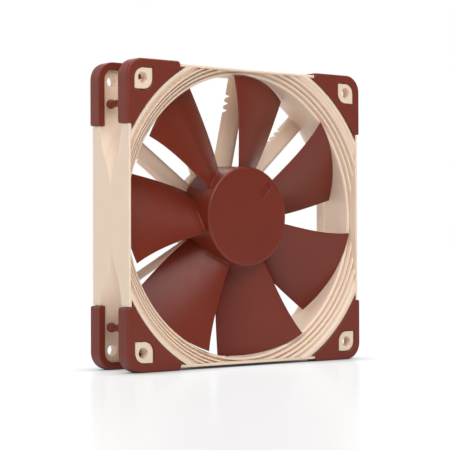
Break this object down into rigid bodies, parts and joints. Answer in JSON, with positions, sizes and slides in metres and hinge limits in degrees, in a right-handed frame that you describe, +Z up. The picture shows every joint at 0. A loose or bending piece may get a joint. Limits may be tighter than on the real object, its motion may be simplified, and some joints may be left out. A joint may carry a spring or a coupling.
{
  "type": "case fan",
  "caption": "Square axial case fan with swept blades on a round hub, guide vanes behind them, a stepped round inlet and soft pads on its corners.",
  "frame": {"origin": "middle of the fan, on the rotor's axis, halfway between the front and rear pad faces", "axes": "+Y along the rotor's axis in the direction the air moves, front (intake) face towards -Y; +Z up; +X to the right seen from the front"},
  "size_m": [0.12, 0.026, 0.12],
  "materials": {
    "beige_plastic": "satin",
    "brown_plastic": "satin",
    "brown_rubber": "matte",
    "steel": "polished",
    "core_steel": "satin",
    "ferrite": "matte",
    "brass": "polished",
    "bronze": "satin",
    "copper": "gloss",
    "nylon": "satin",
    "board_green": "satin",
    "black_epoxy": "matte",
    "ceramic": "satin",
    "tin": "satin",
    "label_paper": "matte"
  },
  "bodies": {
    "housing": {"frame": "beige_plastic", "front_pad_top_left": "brown_rubber", "front_pad_top_right": "brown_rubber", "front_pad_bottom_left": "brown_rubber", "front_pad_bottom_right": "brown_rubber", "rear_pad_top_left": "brown_rubber", "rear_pad_top_right": "brown_rubber", "rear_pad_bottom_left": "brown_rubber", "rear_pad_bottom_right": "brown_rubber", "bearing_tube": "brass", "bearing_sleeve": "bronze", "oil_seal_washer": "nylon", "thrust_washer": "nylon", "damping_magnet": "ferrite", "stator_core": "core_steel", "front_insulator": "nylon", "rear_insulator": "nylon", "coil_1": "copper", "coil_2": "copper", "coil_3": "copper", "coil_4": "copper", "circuit_board": "board_green", "hall_sensor": "black_epoxy", "driver_chip": "black_epoxy", "capacitor": "ceramic", "resistor_1": "black_epoxy", "resistor_2": "black_epoxy", "lead_terminal_1": "tin", "lead_terminal_2": "tin", "lead_terminal_3": "tin", "lead_terminal_4": "tin", "rear_label": "label_paper"},
    "rotor": {"impeller": "brown_plastic", "rotor_yoke": "steel", "ring_magnet": "ferrite", "shaft_boss": "brass", "shaft": "steel", "retaining_clip": "nylon"}
  },
  "joints": [
    {"name": "rotor_spin", "type": "hinge", "parent": "housing", "child": "rotor", "pos_m": [0, 0, 0], "axis": [0, -1, 0], "continuous": true}
  ]
}
